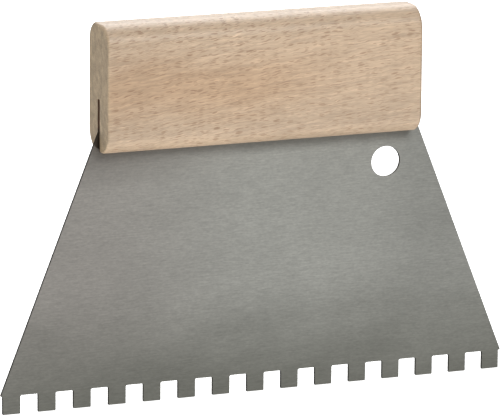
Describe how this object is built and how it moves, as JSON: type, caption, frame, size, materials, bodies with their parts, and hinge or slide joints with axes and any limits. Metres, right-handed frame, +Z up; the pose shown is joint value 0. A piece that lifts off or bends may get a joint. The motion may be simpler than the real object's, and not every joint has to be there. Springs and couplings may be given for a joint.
{
  "type": "notched trowel",
  "caption": "Thin trapezoid steel spreader blade with square notches along its lower edge and a hang hole, set in the kerf of a straight wooden block handle.",
  "frame": {"origin": "middle of the tooth tips, in the middle of the sheet's thickness", "axes": "+X along the working edge towards the hang hole's side, +Y through the sheet, +Z up from the tooth tips to the handle"},
  "size_m": [0.1756, 0.017, 0.1244],
  "materials": {
    "sheet_steel": "rolled, dull grey, fine grain along the edge",
    "beech": "bare, sanded, short dark flecks along the grain",
    "cured_adhesive": "cured, dull amber"
  },
  "bodies": {
    "root": {"blade": "sheet_steel", "handle": "beech", "kerf_adhesive": "cured_adhesive"}
  },
  "joints": []
}
